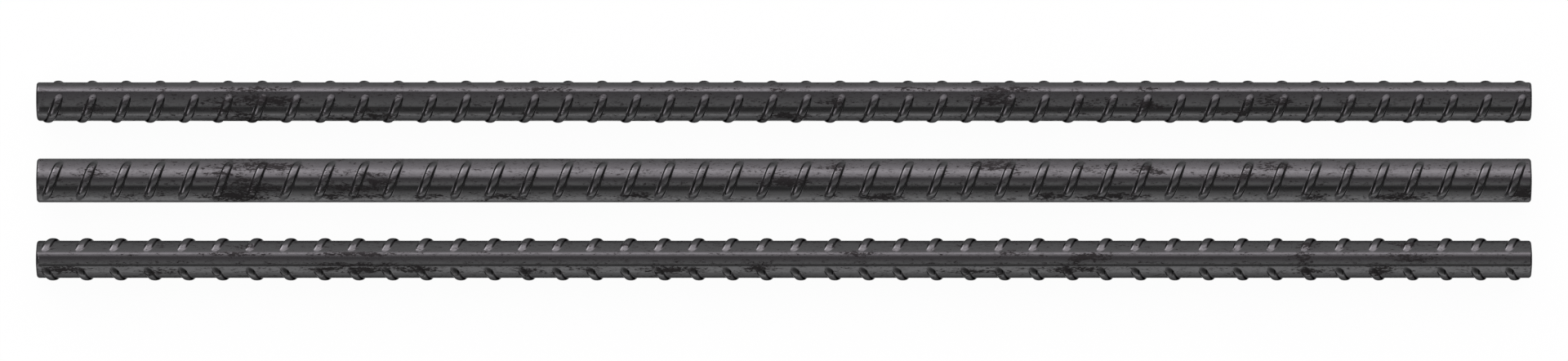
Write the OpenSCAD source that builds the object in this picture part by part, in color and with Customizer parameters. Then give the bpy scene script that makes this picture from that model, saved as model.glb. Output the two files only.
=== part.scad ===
// Three ribbed reinforcing bars, cut to length and lying side by side on a floor.
// Each bar is one hot-rolled length: a round core with two longitudinal ribs, where the
// rolls met, and eased cut ends. X runs along the bars, Y across them, and Z is up.
// The origin is on the floor, in the middle of the set.

/* [Rolled section] */
// Diameter of the round core
core_d = 15; // [10:0.1:32]
// Height of a longitudinal rib above the core
rib_rise = 1.3; // [0.5:0.1:2.5]
// Width of a longitudinal rib's outer face
rib_face_w = 5; // [2:0.1:7]
// Angle at which a longitudinal rib's flank meets the core's surface
flank_meet = 6; // [3:1:30]

/* [Cut length] */
// Length of each bar
bar_length = 600; // [200:1:1200]
// How far the flat of a cut end stays inside the core's surface
end_inset = 1.2; // [0.4:0.1:2.5]
// Angle of the eased edge, measured from the cut end
end_angle = 30; // [15:1:60]

/* [Layout] */
// Clear gap between neighbouring bars, measured over their longitudinal ribs
bar_gap = 14; // [1:0.5:60]
// Turn of the rear bar about its own axis, in degrees
rear_roll = 45; // [-90:1:90]
// Turn of the middle bar about its own axis, in degrees
middle_roll = 0; // [-90:1:90]
// Turn of the front bar about its own axis, in degrees
front_roll = -90; // [-90:1:90]

/* [Hidden] */
$fn = 96;
core_r = core_d / 2;
outer_r = core_r + rib_rise;
// Half the angle that a longitudinal rib's outer face covers, seen from the axis
face_angle = asin(rib_face_w / 2 / outer_r);
// Distance from the axis to a flank's plane, and the direction that the flank faces
flank_r = core_r * cos(flank_meet);
flank_angle = face_angle + acos(flank_r / outer_r);
// The end tool is wider than the bar by this margin, so that its cone cuts every edge
end_tool_margin = 1;
end_flat_r = core_r - end_inset;
end_tool_r = outer_r + end_tool_margin;
end_tool_l = (end_tool_r - end_flat_r) * tan(end_angle);
bar_spacing = 2 * outer_r + bar_gap;
scale_grey = [0.25, 0.24, 0.25];

// Angle from 0 to 90 degrees between the floor's direction and the nearer longitudinal rib
function tilt_from_rib(roll) = acos(abs(sin(roll)));

// Height of a bar's axis when it lies on the floor at this roll
function rest_height(roll) =
    let (tilt = tilt_from_rib(roll))
    tilt <= face_angle ? outer_r : max(core_r, outer_r * cos(tilt - face_angle));

// Section with its longitudinal ribs on the X axis of the drawing
module rolled_section() {
    foot = flank_r * [cos(flank_angle), sin(flank_angle)];
    tip = flank_r / cos(flank_angle);
    intersection() {
        circle(r = outer_r);
        union() {
            circle(r = core_r);
            polygon([
                [tip, 0], [foot.x, foot.y], [-foot.x, foot.y],
                [-tip, 0], [-foot.x, -foot.y], [foot.x, -foot.y]
            ]);
        }
    }
}

// Turned outline of a cut length, with a cone at each end that eases the edge
module cut_length() {
    half = bar_length / 2;
    rotate([0, 90, 0])
        rotate_extrude()
            polygon([
                [0, -half], [end_flat_r, -half], [end_tool_r, end_tool_l - half],
                [end_tool_r, half - end_tool_l], [end_flat_r, half], [0, half]
            ]);
}

// One bar along X, with its axis on the X axis and its longitudinal ribs on Y
module bar() {
    intersection() {
        rotate([90, 0, 90])
            linear_extrude(bar_length, center = true)
                rolled_section();
        cut_length();
    }
}

// A bar laid on the floor, at a place across the set and a turn about its own axis
module laid_bar(across, roll) {
    color(scale_grey)
        translate([0, across, rest_height(roll)])
            rotate([roll, 0, 0])
                bar();
}

module rear_bar() { laid_bar(bar_spacing, rear_roll); }
module middle_bar() { laid_bar(0, middle_roll); }
module front_bar() { laid_bar(-bar_spacing, front_roll); }

rear_bar();
middle_bar();
front_bar();
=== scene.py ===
import bpy
import numpy as np
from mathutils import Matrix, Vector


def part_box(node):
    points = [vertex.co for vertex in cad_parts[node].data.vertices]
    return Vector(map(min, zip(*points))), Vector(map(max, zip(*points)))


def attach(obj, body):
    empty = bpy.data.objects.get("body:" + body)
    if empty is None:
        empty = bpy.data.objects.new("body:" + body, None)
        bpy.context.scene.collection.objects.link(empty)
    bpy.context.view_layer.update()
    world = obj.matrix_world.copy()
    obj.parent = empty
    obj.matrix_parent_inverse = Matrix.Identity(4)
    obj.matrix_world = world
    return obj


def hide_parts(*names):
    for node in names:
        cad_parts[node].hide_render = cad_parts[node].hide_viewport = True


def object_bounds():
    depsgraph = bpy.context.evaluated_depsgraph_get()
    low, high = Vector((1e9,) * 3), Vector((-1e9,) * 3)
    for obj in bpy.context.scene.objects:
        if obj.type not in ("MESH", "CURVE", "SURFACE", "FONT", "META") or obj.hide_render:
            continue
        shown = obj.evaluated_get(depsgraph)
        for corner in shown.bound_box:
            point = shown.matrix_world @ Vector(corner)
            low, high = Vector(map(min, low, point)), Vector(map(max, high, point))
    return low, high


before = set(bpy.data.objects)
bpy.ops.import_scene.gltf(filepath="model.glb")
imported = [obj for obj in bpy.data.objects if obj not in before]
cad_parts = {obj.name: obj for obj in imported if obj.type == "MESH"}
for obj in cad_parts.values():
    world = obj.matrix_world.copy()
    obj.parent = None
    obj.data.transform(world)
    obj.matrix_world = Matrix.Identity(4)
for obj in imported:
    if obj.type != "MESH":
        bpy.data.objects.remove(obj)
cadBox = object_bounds()
mm = 0.001

# Rolled bars: sizes in millimetres, angles in degrees. Each bar's length and axis come from its CAD box.
barStock = {
    "turns": {"rear_bar": 45.0, "middle_bar": 0.0, "front_bar": -90.0},  # about the bar's own axis
    "coreRadius": 7.5,
    "stripRadius": 8.8,      # axis to the crest of a longitudinal rib
    "stripFace": 5.1,        # width of that rib's face
    "flankMeets": 54.0,      # angle from the longitudinal rib's middle where its flank leaves the core
    "flankSwell": 0.125,     # how far the flank stands out from a straight line
    "cornerEase": 2.1,       # how far round the section a corner is eased
    "ribsInRow": 44,         # slanted ribs in each of the two rows
    "ribSlant": 0.354,       # run along the bar for each millimetre round it
    "ribHeight": 1.03,
    "ribWidth": 1.77,        # half width along the bar, at the middle of a rib
    "ribTaper": 28.0,        # round the bar from the middle, the width falls as 1 - (distance / this)^2
    "ribRunout": (4.5, 9.2),  # distances round the bar between which a rib's end slopes away
    "ribFade": 1.25,         # how late that slope gets steep
    "ribBlunt": 0.9,         # how much sooner the end slopes away at a rib's sides, so that it is round
    "ribDraw": (0.7, 5),     # how far a rib's end draws in, and how late
    "ribProfile": (0.4, 0.85),  # how round the top is, and how sharply the sides drop
    "paintedShadeLean": (23, 46),  # degrees of slope between which painted shade darkens a rib's side
    "endRound": 1.1,         # radius of the eased edge of a cut end
    "endDome": 0.33,         # how far the middle of a cut end stands out
}

# Lines of a bar's grid, closest where its shape turns most
barGrid = {
    "sectionSteps": 14400,   # steps round the section while it is worked out
    "quarterSteps": 4000,    # steps while a quarter of it is measured
    "rowsOnRib": 9,          # rows from a rib's middle to the start of its end
    "rowsOnEnd": 10,         # rows down its end
    "rowsOnCorner": [-0.4, -0.18, 0, 0.18, 0.4],  # millimetres from the corner of a longitudinal rib
    "rowsOnStrip": 4,        # rows from there to the middle of that rib's face
    "columns": [0.3, 0.55, 0.74, 0.87, 0.97, 1.07, 1.18, 1.32, 1.5],  # half widths from a rib's middle line
    "columnSpread": 2.0,     # millimetres past a rib's end over which its columns spread again
    "edgeColumns": 7,        # columns round the edge of a cut end
    "endRings": [0.8, 0.55, 0.3],  # rings on a cut end, as shares of its radius
}


# Section in polar form: the crest's round, a flank that swells a little, then the core. The flank is the
# chord between its two ends, which is distance / cos(angle from its normal), plus 4 s (1 - s) times the
# swell, s being the share of the way across it. A narrow Gaussian blur over the angle eases the corners.
# Gives radius and outward normal at each angle.
def rolledSection(bar, angles):
    turn = np.linspace(0, 2 * np.pi, barGrid["sectionSteps"], endpoint=False)
    fromStrip = np.arcsin(np.abs(np.sin(turn)))
    face = np.arcsin(bar["stripFace"] / 2 / bar["stripRadius"])
    meets = np.radians(bar["flankMeets"])
    high = bar["stripRadius"] * np.array([np.cos(face), np.sin(face)])
    low = bar["coreRadius"] * np.array([np.cos(meets), np.sin(meets)])
    faces = np.arctan2(high[0] - low[0], low[1] - high[1])
    share = np.clip((fromStrip - face) / (meets - face), 0, 1)
    distance = high[0] * np.cos(faces) + high[1] * np.sin(faces)
    flank = distance / np.cos(face + share * (meets - face) - faces)
    flank = flank + bar["flankSwell"] * 4 * share * (1 - share)
    radius = np.where(fromStrip < meets, flank, bar["coreRadius"])
    radius = np.where(fromStrip < face, bar["stripRadius"], radius)
    waves = np.arange(len(turn) // 2 + 1) * np.radians(bar["cornerEase"])
    radius = np.fft.irfft(np.fft.rfft(radius) * np.exp(-waves ** 2 / 2), len(turn))
    slope = np.gradient(radius, turn[1])
    r = np.interp(angles, turn, radius, period=2 * np.pi)
    lean = np.arctan2(np.interp(angles, turn, slope, period=2 * np.pi), r)
    return r, np.cos(angles - lean), np.sin(angles - lean)


# Angles of the grid's rows, once round from the middle of one longitudinal rib, and each row's distance from
# the middle of the slanted ribs there. Rows close up at a slanted rib's end and at a longitudinal rib's
# corner.
def sectionRows(bar):
    turn = np.linspace(np.pi / 2, 0, barGrid["quarterSteps"])
    r, _, _ = rolledSection(bar, turn)
    step = np.hypot(np.diff(r * np.cos(turn)), np.diff(r * np.sin(turn)))
    arc = np.concatenate([[0], np.cumsum(step)])
    face = np.arcsin(bar["stripFace"] / 2 / bar["stripRadius"])
    corner = np.interp(-face, -turn, arc) + np.array(barGrid["rowsOnCorner"])
    quarter = np.concatenate([
        np.linspace(0, bar["ribRunout"][0], barGrid["rowsOnRib"], endpoint=False),
        np.linspace(*bar["ribRunout"], barGrid["rowsOnEnd"]),
        corner,
        np.linspace(corner[-1], arc[-1], barGrid["rowsOnStrip"])[1:],
    ])
    a = np.interp(quarter, arc, turn)[::-1]
    angles = np.concatenate([a, np.pi - a[::-1][1:], np.pi + a[1:], 2 * np.pi - a[::-1][1:-1]])
    d = quarter[::-1]
    return angles, np.concatenate([d, d[::-1][1:], d[1:], d[::-1][1:-1]])


# Columns over all the slanted ribs: place along the bar, and height over the section.
# A rib's height is exp(-(a q^2 + b q^8)), where q is the distance from its middle line in half widths, times
# a half cosine that brings it down over its end, sooner at its sides. So it is a hump with a slightly round
# top, steep sides and sloping round ends. Columns crowd at its sides and draw in at its ends. They are
# sheared by its slant, towards +X on the +Y half of the bar and towards -X on the other.
def ribColumns(bar, length, fromMiddle, half):
    side = np.array(barGrid["columns"])
    across = np.concatenate([-side[::-1], [0], side])[:, None]
    first, last = bar["ribRunout"]
    past = np.maximum((fromMiddle - first) / (last - first), 0)
    early = bar["ribBlunt"] * (across ** 2 - 0.5) / (last - first)
    fade = np.clip(past ** bar["ribFade"] * (1 + early), 0, 1)
    roundness, drop = bar["ribProfile"]
    hump = bar["ribHeight"] * (0.5 + 0.5 * np.cos(np.pi * fade))
    hump = hump * np.exp(-roundness * across ** 2 - drop * across ** 8)

    much, late = bar["ribDraw"]
    drawn = np.sqrt(1 - much * np.minimum(past, 1) ** late)
    drawn = drawn + (1 - drawn) * np.clip((fromMiddle - last) / barGrid["columnSpread"], 0, 1)
    drawn = drawn * (1 - (fromMiddle / bar["ribTaper"]) ** 2)
    shear = bar["ribSlant"] * half * np.minimum(fromMiddle, last)
    count = bar["ribsInRow"]
    pitch = length / count
    centre = (np.arange(count) - (count - 1) / 2) * pitch
    atRib = bar["ribWidth"] * across * drawn + shear
    between = shear[None, :] + pitch / 2
    x = centre[:, None, None] + np.concatenate([atRib, between])
    raised = np.tile(np.concatenate([hump, 0 * between]), (count, 1))
    return x.reshape(-1, len(fromMiddle))[:-1], raised[:-1]


# Columns of a cut end: a quarter round at its edge, then rings on a dome that falls as the radius squared.
# Gives each column's place along the bar, and its size as a share of the section.
def cutEnd(bar, length, r):
    rim = length / 2 - bar["endDome"]
    edge = np.linspace(0, np.pi / 2, barGrid["edgeColumns"])
    ring = np.array(barGrid["endRings"])
    eased = bar["endRound"]
    along = np.concatenate([rim - eased * (1 - np.sin(edge)), rim + bar["endDome"] * (1 - ring ** 2)])
    size = np.concatenate([1 - eased * (1 - np.cos(edge))[:, None] / r, ring[:, None] * (1 - eased / r)])
    return along, size


# One bar as a closed grid of columns along it and rows round it, in its own frame in millimetres: the
# section plus the ribs' height along its normal. Two columns at each end bring the slant back to square.
def ribbedBar(bar, length):
    angles, fromMiddle = sectionRows(bar)
    r, ny, nz = rolledSection(bar, angles)
    y, z = r * np.cos(angles), r * np.sin(angles)
    x, raised = ribColumns(bar, length, fromMiddle, np.sign(y))
    endX, inset = cutEnd(bar, length, r)
    part = np.array([1, 2])[:, None] / 3
    toLeft = x[0] + (-endX[0] - x[0]) * part
    toRight = x[-1] + (endX[0] - x[-1]) * part
    ends = endX[:, None] + 0 * angles
    xs = np.concatenate([-ends[::-1], toLeft[::-1], x, toRight, ends])
    plain = np.ones((len(part), len(angles)))
    shrink = np.concatenate([inset[::-1], plain, np.ones_like(x), plain, inset])
    flat = np.zeros((len(endX) + len(part), len(angles)))
    raised = np.concatenate([flat, raised, flat])
    grid = np.stack([xs, (y + ny * raised) * shrink, (z + nz * raised) * shrink], axis=2)
    poles = np.array([[-length / 2, 0, 0], [length / 2, 0, 0]])
    return grid, poles


# Faces of that grid: quads wound outwards, and a fan of triangles to the pole at each end
def barFaces(columns, rows):
    c, k = np.meshgrid(np.arange(columns - 1), np.arange(rows), indexing="ij")
    after = (k + 1) % rows
    quads = np.stack([c * rows + k, c * rows + after, (c + 1) * rows + after, (c + 1) * rows + k], axis=2)
    ring = np.arange(rows)
    nextRow = (ring + 1) % rows
    end = (columns - 1) * rows
    left = np.stack([np.full(rows, columns * rows), nextRow, ring], axis=1)
    right = np.stack([np.full(rows, columns * rows + 1), end + ring, end + nextRow], axis=1)
    return quads.reshape(-1, 4), np.concatenate([left, right])


# UV map for a bake: the skin cut across into lengths that lie one above the other
bakeMap = {"lengths": 4, "sideMargin": 0.01, "gap": 0.02}


# u runs along the bar and v round it. Both grow by the mean distance between the grid's lines, so every face
# has width, and a pole is spread along the end of its length.
def skinMap(grid, poles):
    lengths, margin, gap = bakeMap["lengths"], bakeMap["sideMargin"], bakeMap["gap"]
    ends = poles[:, None, :] + 0 * grid[:2]
    rings = np.concatenate([ends[:1], grid, ends[1:]])
    u = np.concatenate([[0], np.cumsum(np.linalg.norm(np.diff(rings, axis=0), axis=2).mean(axis=1))])
    step = np.linalg.norm(np.roll(grid, -1, axis=1) - grid, axis=2).mean(axis=0)
    v = 1 - np.concatenate([[0], np.cumsum(step)]) / step.sum()
    strip = ((u[:-1] + u[1:]) / 2 // (u[-1] / lengths)).astype(int)
    first = np.searchsorted(strip, np.arange(lengths))
    start = u[first][strip]
    longest = np.diff(np.append(u[first], u[-1])).max()
    before, after = (margin + (1 - 2 * margin) * (edge - start) / longest for edge in (u[:-1], u[1:]))
    before, after = (np.repeat(edge[:, None], len(v) - 1, axis=1) for edge in (before, after))
    height = (strip[:, None] + gap + (1 - 2 * gap) * v) / lengths
    low, high = height[:, :-1], height[:, 1:]
    quads = np.stack([before, low, before, high, after, high, after, low], axis=2)[1:-1]
    middle = (low + high) / 2
    left = np.stack([before, middle, after, high, after, low], axis=2)[0]
    right = np.stack([after, middle, before, low, before, high], axis=2)[-1]
    return np.concatenate([quads.ravel(), left.ravel(), right.ravel()]).astype(np.float32)


# How far each point leans from the bare section, from 0 to 1: that is where painted shade darkens a rib's
# steeply rising side
def ribSlope(bar, grid, normals, turn):
    angles, _ = sectionRows(bar)
    _, ny, nz = rolledSection(bar, angles)
    c, s = np.cos(np.radians(turn)), np.sin(np.radians(turn))
    bare = np.stack([0 * ny, ny * c - nz * s, ny * s + nz * c], axis=1)
    n = normals[:grid.shape[0] * grid.shape[1]].reshape(grid.shape)
    lean = np.degrees(np.arccos(np.clip((n * bare).sum(axis=2), -1, 1)))
    low, high = bar["paintedShadeLean"]
    steep = np.clip((lean - low) / (high - low), 0, 1)
    onBar = np.abs(grid[:, :, 0]) < grid[:, :, 0].max() - bar["endDome"] - bar["endRound"]
    return np.concatenate([(steep * onBar).ravel(), [0, 0]]).astype(np.float32)


# Mill scale, and where it has flaked: each patch is the middle's millimetres along the bar and degrees round
# it from the middle of the first rib row, then its half length, half angle and amount
scaleSkin = {
    "skin": (0.0812, 0.0809, 0.0831, 1),
    "paintedCreaseShade": (0.016, 0.0155, 0.016, 1),  # steep sides of the ribs, darkened with painted shade that stands in for their shadowed reflections
    "bare": (0.027, 0.0252, 0.0258, 1),   # dull steel where the scale is gone
    "glancing": (0.35, 0.35, 0.35, 1),    # how bright the skin stays at a glancing angle
    "rough": 0.14,
    "roughVaries": 0.03,                  # by so much either way, in streaks
    "bareRough": 0.62,
    "streak": (30.0, 0.5, 0.5),           # size of a streak along and across the bar
    "fleck": (1.6, 0.65, 0.65),           # size of one fleck
    "cloud": (6.0, 2.2, 2.2),             # size of a cluster of flecks
    "cloudWeight": 0.45,                  # what clusters and patches count for, where flecks count for 1
    "patchWeight": 0.36,
    "thin": (0.79, 0.95),                 # levels between which the scale gets thin
    "thinShows": 0.3,                     # how much of the bare steel shows there
    "gone": (0.92, 1.0),                  # levels between which it is gone
    "everywhere": 0.3,                    # amount away from the patches
    "rear_bar": [
        (-211, 48, 17, 18, 0.9), (-226, 22, 6, 10, 0.8), (-277, 25, 7, 16, 0.7), (-165, 16, 7, 10, 0.8),
        (-184, 30, 5, 14, 0.5), (-105, 35, 8, 16, 0.5), (-60, 40, 8, 16, 0.4), (20, 45, 8, 16, 0.7),
        (84, 48, 9, 18, 1.0), (125, 40, 14, 22, 0.55), (146, 32, 6, 16, 0.9), (195, 44, 10, 16, 0.85),
        (229, 40, 8, 16, 0.6), (245, 35, 6, 14, 0.4), (-178, -12, 6, 14, 0.7), (-163, -2, 8, 12, 0.95),
        (-135, 5, 6, 10, 0.6), (-104, 5, 8, 10, 0.6), (2, -5, 12, 14, 0.9), (183, 12, 14, 12, 0.75),
        (120, 5, 20, 10, 0.5), (-218, 0, 8, 12, 0.8), (260, 5, 5, 10, 0.5), (-263, -52, 10, 14, 0.65),
        (-219, -54, 13, 18, 1.0), (-180, -52, 5, 16, 0.9), (-168, -54, 11, 12, 0.75),
        (-142, -54, 10, 11, 0.7), (-111, -56, 8, 12, 0.9), (-59, -50, 8, 12, 0.9), (-38, -54, 9, 10, 0.5),
        (18, -54, 6, 10, 0.5),
        (38, -55, 9, 14, 1.0), (107, -54, 6, 16, 0.95), (130, -56, 14, 13, 0.95), (213, -54, 5, 14, 0.9),
        (246, -55, 11, 14, 1.0), (296, -48, 5, 22, 1.0), (165, -58, 8, 8, 0.45), (-288, -54, 7, 9, 0.5),
        (-212, 80, 14, 9, 0.9), (-97, 80, 14, 8, 0.85), (-40, 80, 7, 8, 0.7), (-1, 80, 5, 8, 0.8),
        (52, 80, 11, 8, 0.7), (89, 80, 14, 9, 0.95), (144, 80, 8, 8, 0.65), (-276, 80, 4, 8, 0.5),
        (247, 80, 9, 8, 0.4), (-30, 140, 16, 24, 0.8), (150, 150, 14, 24, 0.9), (-190, 160, 12, 22, 0.8),
        (250, -150, 10, 20, 0.7), (-120, -130, 15, 20, 0.8), (60, -120, 12, 20, 0.8),
        (-215, -25, 14, 20, 0.9), (-172, -22, 15, 18, 0.8),
    ],
    "front_bar": [
        (-215, -50, 4, 10, 0.8), (-179, -45, 8, 10, 0.5), (-65, -45, 5, 10, 0.6), (210, -48, 4, 12, 0.9),
        (249, -42, 5, 12, 0.9), (-225, -40, 3, 10, 0.5), (-220, -76, 14, 7, 0.8), (-171, -76, 17, 7, 0.95),
        (-110, -76, 6, 7, 0.6), (28, -74, 11, 8, 0.8), (92, -76, 8, 8, 0.75), (122, -84, 9, 14, 0.9),
        (209, -85, 5, 16, 0.8), (252, -86, 11, 14, 0.8), (-26, -76, 4, 7, 0.5), (-170, -105, 17, 7, 0.9),
        (-10, -104, 6, 8, 0.7), (-262, -98, 5, 6, 0.4), (-289, -122, 10, 16, 0.9), (-250, -132, 9, 12, 0.85),
        (-219, -115, 5, 8, 0.5), (-182, -118, 7, 10, 0.95), (-168, -122, 9, 14, 1.0),
        (-147, -122, 8, 14, 0.95), (-102, -128, 5, 16, 0.9), (-79, -120, 7, 12, 0.65),
        (-45, -122, 12, 13, 0.95), (-11, -118, 6, 12, 0.95), (7, -122, 7, 10, 0.4),
        (77, -130, 14, 12, 0.8), (116, -120, 11, 16, 0.95), (211, -124, 6, 16, 0.95),
        (239, -124, 5, 20, 0.95), (222, -124, 3, 10, 0.5), (269, -122, 4, 10, 0.4), (39, -124, 4, 10, 0.45),
        (-100, 20, 12, 24, 0.8), (80, 60, 14, 24, 0.8), (200, 140, 12, 22, 0.8), (-230, 120, 12, 22, 0.8),
        (0, 170, 12, 20, 0.7),
    ],
}
scaleSkin["middle_bar"] = scaleSkin["rear_bar"]  # both came off the same stretch of the rolls


# The highest of soft hills over a low level, each its amount times exp(-0.55 d^2), with d the distance from
# its middle in half sizes
def flakedAmount(skin, node, local):
    along, fromRow = local[:, 0], np.degrees(np.arctan2(local[:, 1], local[:, 2]))
    amount = np.full(len(local), skin["everywhere"])
    for x, angle, halfLength, halfAngle, much in skin[node]:
        turned = (fromRow - angle + 180) % 360 - 180
        d = np.hypot((along - x) / halfLength, turned / halfAngle)
        amount = np.maximum(amount, much * np.exp(-0.55 * d ** 2))
    return amount.astype(np.float32)


# A math node whose inputs are numbers or other nodes' outputs
def mathNode(nodes, links, operation, *values):
    node = nodes.new("ShaderNodeMath")
    node.operation = operation
    for socket, value in zip(node.inputs, values):
        if isinstance(value, (int, float)):
            socket.default_value = value
        else:
            links.new(value, socket)
    return node.outputs[0]


# A value carried from one range to another, and held at the ends
def ranged(nodes, links, value, fromRange, toRange, curve="SMOOTHSTEP"):
    node = nodes.new("ShaderNodeMapRange")
    node.interpolation_type = curve
    node.inputs["From Min"].default_value, node.inputs["From Max"].default_value = fromRange
    node.inputs["To Min"].default_value, node.inputs["To Max"].default_value = toRange
    links.new(value, node.inputs["Value"])
    return node.outputs[0]


# Dark scale with a satin gloss in faint streaks, painted shade on the ribs' steep sides, and dull where it
# flaked
def millScale(skin):
    mat = bpy.data.materials.new("mill_scale_steel")
    mat.use_nodes = True
    nodes, links = mat.node_tree.nodes, mat.node_tree.links
    shader = nodes["Principled BSDF"]
    shader.inputs["Metallic"].default_value = 1.0
    shader.inputs["Specular Tint"].default_value = skin["glancing"]

    def read(name):
        node = nodes.new("ShaderNodeAttribute")
        node.attribute_name = name
        return node.outputs

    def grain(size, detail, harsh):
        place = nodes.new("ShaderNodeMapping")
        place.inputs["Scale"].default_value = [1 / n for n in size]
        links.new(read("barPlace")["Vector"], place.inputs["Vector"])
        noise = nodes.new("ShaderNodeTexNoise")
        noise.inputs["Scale"].default_value = 1.0
        noise.inputs["Detail"].default_value = detail
        noise.inputs["Roughness"].default_value = harsh
        links.new(place.outputs[0], noise.inputs["Vector"])
        return noise.outputs[0]

    def blend(share, first, second):
        node = nodes.new("ShaderNodeMix")
        node.data_type = "RGBA"
        links.new(share, node.inputs[0])
        for socket, value in ((node.inputs[6], first), (node.inputs[7], second)):
            if isinstance(value, tuple):
                socket.default_value = value
            else:
                links.new(value, socket)
        return node.outputs[2]

    # Scale is gone where flecks, clusters of them and patches add up past a level, and thin just below it
    flecks = grain(skin["fleck"], 6.0, 0.68)
    clouds = mathNode(nodes, links, "MULTIPLY", grain(skin["cloud"], 3.0, 0.55), skin["cloudWeight"])
    patches = mathNode(nodes, links, "MULTIPLY", read("flaked")["Fac"], skin["patchWeight"])
    level = mathNode(nodes, links, "ADD", mathNode(nodes, links, "ADD", flecks, clouds), patches)
    thin = ranged(nodes, links, level, skin["thin"], (0, skin["thinShows"]))
    bare = mathNode(nodes, links, "MAXIMUM", thin, ranged(nodes, links, level, skin["gone"], (0, 1)))
    # Painted shade: the ribs' steep sides are darkened in place of their shadowed reflections
    tone = blend(read("ribSideShade")["Fac"], skin["skin"], skin["paintedCreaseShade"])
    links.new(blend(bare, tone, skin["bare"]), shader.inputs["Base Color"])

    smoothest, roughest = skin["rough"] - skin["roughVaries"], skin["rough"] + skin["roughVaries"]
    finish = ranged(nodes, links, grain(skin["streak"], 2.0, 0.5), (0.3, 0.7), (smoothest, roughest))
    rough = nodes.new("ShaderNodeMix")
    links.new(bare, rough.inputs[0])
    links.new(finish, rough.inputs[2])
    rough.inputs[3].default_value = skin["bareRough"]
    links.new(rough.outputs[0], shader.inputs["Roughness"])
    return mat


# Each bar's grid is turned about its axis and set on it. The material reads three things from the mesh: the
# painted shade on the ribs' steep sides, the flaked amount, and each point's place in the bar's own frame.
def buildBars(bar, skin):
    mat = millScale(skin)
    for node, turn in bar["turns"].items():
        low, high = (np.array(corner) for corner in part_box(node))
        axis = (low + high) / 2
        grid, poles = ribbedBar(bar, (high[0] - low[0]) / mm)
        local = np.concatenate([grid.reshape(-1, 3), poles])
        c, s = np.cos(np.radians(turn)), np.sin(np.radians(turn))
        x, y, z = local.T
        laid = np.stack([x, y * c - z * s, y * s + z * c], axis=1)
        quads, fans = barFaces(*grid.shape[:2])
        mesh = bpy.data.meshes.new(node + "_ribbed")
        mesh.from_pydata(laid * mm + axis, [], quads.tolist() + fans.tolist())
        mesh.polygons.foreach_set("use_smooth", np.ones(len(mesh.polygons), bool))
        normals = np.empty(len(laid) * 3, np.float32)
        mesh.vertex_normals.foreach_get("vector", normals)
        slope = ribSlope(bar, grid, normals.reshape(-1, 3), turn)
        # Mask for the painted shade on the ribs' steep sides
        mesh.attributes.new("ribSideShade", "FLOAT", "POINT").data.foreach_set("value", slope)
        worn = flakedAmount(skin, node, local)
        mesh.attributes.new("flaked", "FLOAT", "POINT").data.foreach_set("value", worn)
        place = mesh.attributes.new("barPlace", "FLOAT_VECTOR", "POINT")
        place.data.foreach_set("vector", local.astype(np.float32).ravel())
        mesh.uv_layers.new(name="OFBake").data.foreach_set("uv", skinMap(grid, poles))
        mesh.materials.append(mat)
        piece = bpy.data.objects.new(node + "_ribbed", mesh)
        bpy.context.scene.collection.objects.link(piece)
        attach(piece, "root")
        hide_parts(node)
        piece.visible_glossy = False  # each bar shows the soft boxes, and not its neighbour
        print("bar", node, "triangles", 2 * len(quads) + len(fans))


buildBars(barStock, scaleSkin)

# Studio floor: a wide round sheet that curls up at its rim, white to the camera and in the metal's
# reflections. Sizes in metres.
studioFloor = {
    "radius": 40.0,
    "curl": 6.0,             # width of the rim that curls up
    "rise": 0.9,
    "inner": 0.5,            # radius of the flat face in the middle
    "sides": 96,
    "flatRings": 24,
    "curlRings": 13,
    "paint": 0.9,
    "glow": 0.96,            # share of plain white, the rest being paint that takes the bars' shadow
}


# Height is zero inside, and at the rim it rises as 1 - cos over a quarter wave
def floorSheet(floor):
    sides, flatRadius = floor["sides"], floor["radius"] - floor["curl"]
    reach = np.concatenate([np.linspace(floor["inner"], flatRadius, floor["flatRings"]),
                            np.linspace(flatRadius, floor["radius"], floor["curlRings"])[1:]])
    turn = np.linspace(0, 2 * np.pi, sides, endpoint=False)
    climb = np.clip((reach - flatRadius) / floor["curl"], 0, 1)
    height = floor["rise"] * (1 - np.cos(climb * np.pi / 2))
    grid = np.stack([reach[:, None] * np.cos(turn), reach[:, None] * np.sin(turn),
                     height[:, None] + 0 * turn], axis=2).reshape(-1, 3)
    c, k = np.meshgrid(np.arange(len(reach) - 1), np.arange(sides), indexing="ij")
    after = (k + 1) % sides
    inner, outer = c * sides, (c + 1) * sides
    quads = np.stack([inner + k, outer + k, outer + after, inner + after], axis=2)
    mesh = bpy.data.meshes.new("studio_floor")
    mesh.from_pydata(grid, [], quads.reshape(-1, 4).tolist() + [list(range(sides))])
    mesh.polygons.foreach_set("use_smooth", np.ones(len(mesh.polygons), bool))
    return mesh


def floorPaint(floor):
    mat = bpy.data.materials.new("floor_white")
    mat.use_nodes = True
    nodes, links = mat.node_tree.nodes, mat.node_tree.links
    nodes.clear()
    out = nodes.new("ShaderNodeOutputMaterial")
    diffuse = nodes.new("ShaderNodeBsdfDiffuse")
    diffuse.inputs["Color"].default_value = (floor["paint"],) * 3 + (1,)
    white = nodes.new("ShaderNodeEmission")
    path = nodes.new("ShaderNodeLightPath").outputs
    seen = mathNode(nodes, links, "MAXIMUM", path["Is Camera Ray"], path["Is Glossy Ray"])
    seen = mathNode(nodes, links, "MAXIMUM", seen, path["Is Transmission Ray"])
    mix = nodes.new("ShaderNodeMixShader")
    links.new(mathNode(nodes, links, "MULTIPLY", seen, floor["glow"]), mix.inputs[0])
    links.new(diffuse.outputs[0], mix.inputs[1])
    links.new(white.outputs[0], mix.inputs[2])
    links.new(mix.outputs[0], out.inputs["Surface"])
    mat.cycles.emission_sampling = "NONE"
    return mat


floor = bpy.data.objects.new("studio_floor", floorSheet(studioFloor))
floor.data.materials.append(floorPaint(studioFloor))
bpy.context.scene.collection.objects.link(floor)
print("floor laid")

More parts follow.
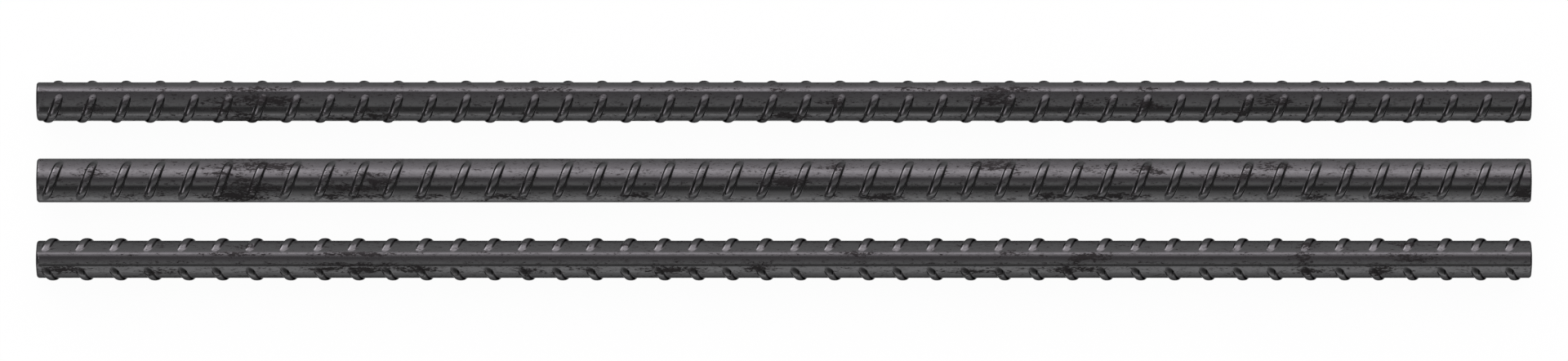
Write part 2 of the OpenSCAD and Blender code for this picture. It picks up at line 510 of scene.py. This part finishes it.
# Soft boxes beside and above the bars: degrees from straight up towards +Y, brightness, and a slight tint.
# Past the boxes' ends, where a direction points mostly along X, the room is darker.
softBoxes = {
    "levels": [
        (-96, 1.5), (-88, 1.48), (-82, 1.16), (-76, 0.86), (-69, 0.53), (-61, 0.29), (-55, 0.2), (-37, 0.2),
        (-31, 0.48), (-25, 0.9), (-20, 0.94), (0, 0.55), (7, 0.43), (13, 0.4), (17, 0.6), (20, 0.95),
        (25, 1.5), (30, 1.95), (36, 2.2), (41, 2.35), (46, 2.6), (52, 2.95), (62, 3.2), (70, 2.6),
        (76, 1.85), (82, 1.5), (88, 1.3), (96, 1.1),
    ],
    "rearTint": (1.024, 0.966, 1.01),
    "frontTint": (0.975, 0.972, 0.965),
    "tintTurns": 18,         # the tint is all front this many degrees in front of straight up
    "boxLength": 0.6,        # share of X in a direction where the boxes start to end
    "frontLength": 0.22,     # the same for the low front box
    "lowFront": (-76, -50),  # degrees over which the one turns to the other
    "endFade": 0.32,
    "pastEnds": 0.06,
    "card": (-0.5, 0.2),     # a card at the left: its share of X and half width
    "cardLevels": [
        (-72, 0), (-58, 3.2), (-40, 2.6), (-25, 0), (45, 0), (58, 1.2), (72, 4.5), (85, 6), (100, 6),
    ],
}


def studioLight(boxes):
    world = bpy.data.worlds.new("studio")
    bpy.context.scene.world = world
    world.use_nodes = True
    nodes, links = world.node_tree.nodes, world.node_tree.links
    back = nodes["Background"]
    split = nodes.new("ShaderNodeSeparateXYZ")
    links.new(nodes.new("ShaderNodeTexCoord").outputs["Generated"], split.inputs[0])
    angle = mathNode(nodes, links, "ARCTAN2", split.outputs["Y"], split.outputs["Z"])
    around = ranged(nodes, links, angle, (-np.pi, np.pi), (0, 1), "LINEAR")

    def levelRamp(levels, tinted):
        ramp = nodes.new("ShaderNodeValToRGB")
        top = max(level for _, level in levels)
        stops = ramp.color_ramp.elements
        stops.remove(stops[1])
        stops[0].position = (levels[0][0] + 180) / 360
        for degrees, _ in levels[1:]:
            stops.new((degrees + 180) / 360)
        for stop, (degrees, level) in zip(stops, levels):
            front = min(max(-degrees / boxes["tintTurns"], 0), 1) if tinted else 0
            tint = [r + (f - r) * front for r, f in zip(boxes["rearTint"], boxes["frontTint"])]
            stop.color = [level / top * t for t in tint] + [1]
        links.new(around, ramp.inputs[0])
        return ramp.outputs[0], top

    # The boxes' brightness follows the angle, and fades where the share of X passes their length
    color, top = levelRamp(boxes["levels"], True)
    turns = tuple(np.radians(boxes["lowFront"]))
    length = ranged(nodes, links, angle, turns, (boxes["frontLength"], boxes["boxLength"]))
    along = mathNode(nodes, links, "ABSOLUTE", split.outputs["X"])
    over = mathNode(nodes, links, "SUBTRACT", along, length)
    fade = ranged(nodes, links, over, (0, boxes["endFade"]), (top, top * boxes["pastEnds"]))
    links.new(color, back.inputs["Color"])
    links.new(fade, back.inputs["Strength"])

    # The card's brightness is exp(-d^2) of the distance from its middle in half widths, times its own levels
    middle, half = boxes["card"]
    fromCard = mathNode(nodes, links, "SUBTRACT", split.outputs["X"], middle)
    d = mathNode(nodes, links, "DIVIDE", fromCard, half)
    fall = mathNode(nodes, links, "MULTIPLY", mathNode(nodes, links, "MULTIPLY", d, d), -1.0)
    color, top = levelRamp(boxes["cardLevels"], False)
    card = nodes.new("ShaderNodeBackground")
    links.new(color, card.inputs["Color"])
    bright = mathNode(nodes, links, "EXPONENT", fall)
    links.new(mathNode(nodes, links, "MULTIPLY", bright, top), card.inputs["Strength"])
    both = nodes.new("ShaderNodeAddShader")
    links.new(back.outputs[0], both.inputs[0])
    links.new(card.outputs[0], both.inputs[1])
    links.new(both.outputs[0], nodes["World Output"].inputs["Surface"])


# Low strip of light in front of the bars, which only the metal shows. Sizes in metres.
frontStrip = {"length": 1.6, "low": 0.004, "high": 0.018, "away": 0.041, "brightness": 0.6}


def lowStrip(strip):
    light = bpy.data.lights.new("front_strip", "AREA")
    light.shape = "RECTANGLE"
    light.size, light.size_y = strip["length"], strip["high"] - strip["low"]
    light.energy = strip["brightness"] * np.pi * light.size * light.size_y
    lamp = bpy.data.objects.new("front_strip", light)
    lamp.location = (0, cadBox[0].y - strip["away"], (strip["low"] + strip["high"]) / 2)
    lamp.rotation_euler = (np.pi / 2, 0, 0)
    lamp.visible_camera = lamp.visible_diffuse = False
    bpy.context.scene.collection.objects.link(lamp)


lowStrip(frontStrip)
studioLight(softBoxes)
print("light set")

# Long lens straight above the middle bar, so that the bars show almost without perspective. Lens and sensor
# are in millimetres, and the width of the frame at half the bars' height is in metres.
cameraSet = {"lens": 300.0, "sensor": 36.0, "frameWidth": 0.629}


def placeCamera(setup):
    data = bpy.data.cameras.new("camera")
    data.lens, data.sensor_width = setup["lens"], setup["sensor"]
    camera = bpy.data.objects.new("camera", data)
    camera.location = (0, 0, cadBox[1].z / 2 + setup["frameWidth"] * setup["lens"] / setup["sensor"])
    bpy.context.scene.collection.objects.link(camera)
    bpy.context.scene.camera = camera


placeCamera(cameraSet)
bpy.context.scene.view_settings.view_transform = "Standard"
print("camera set")
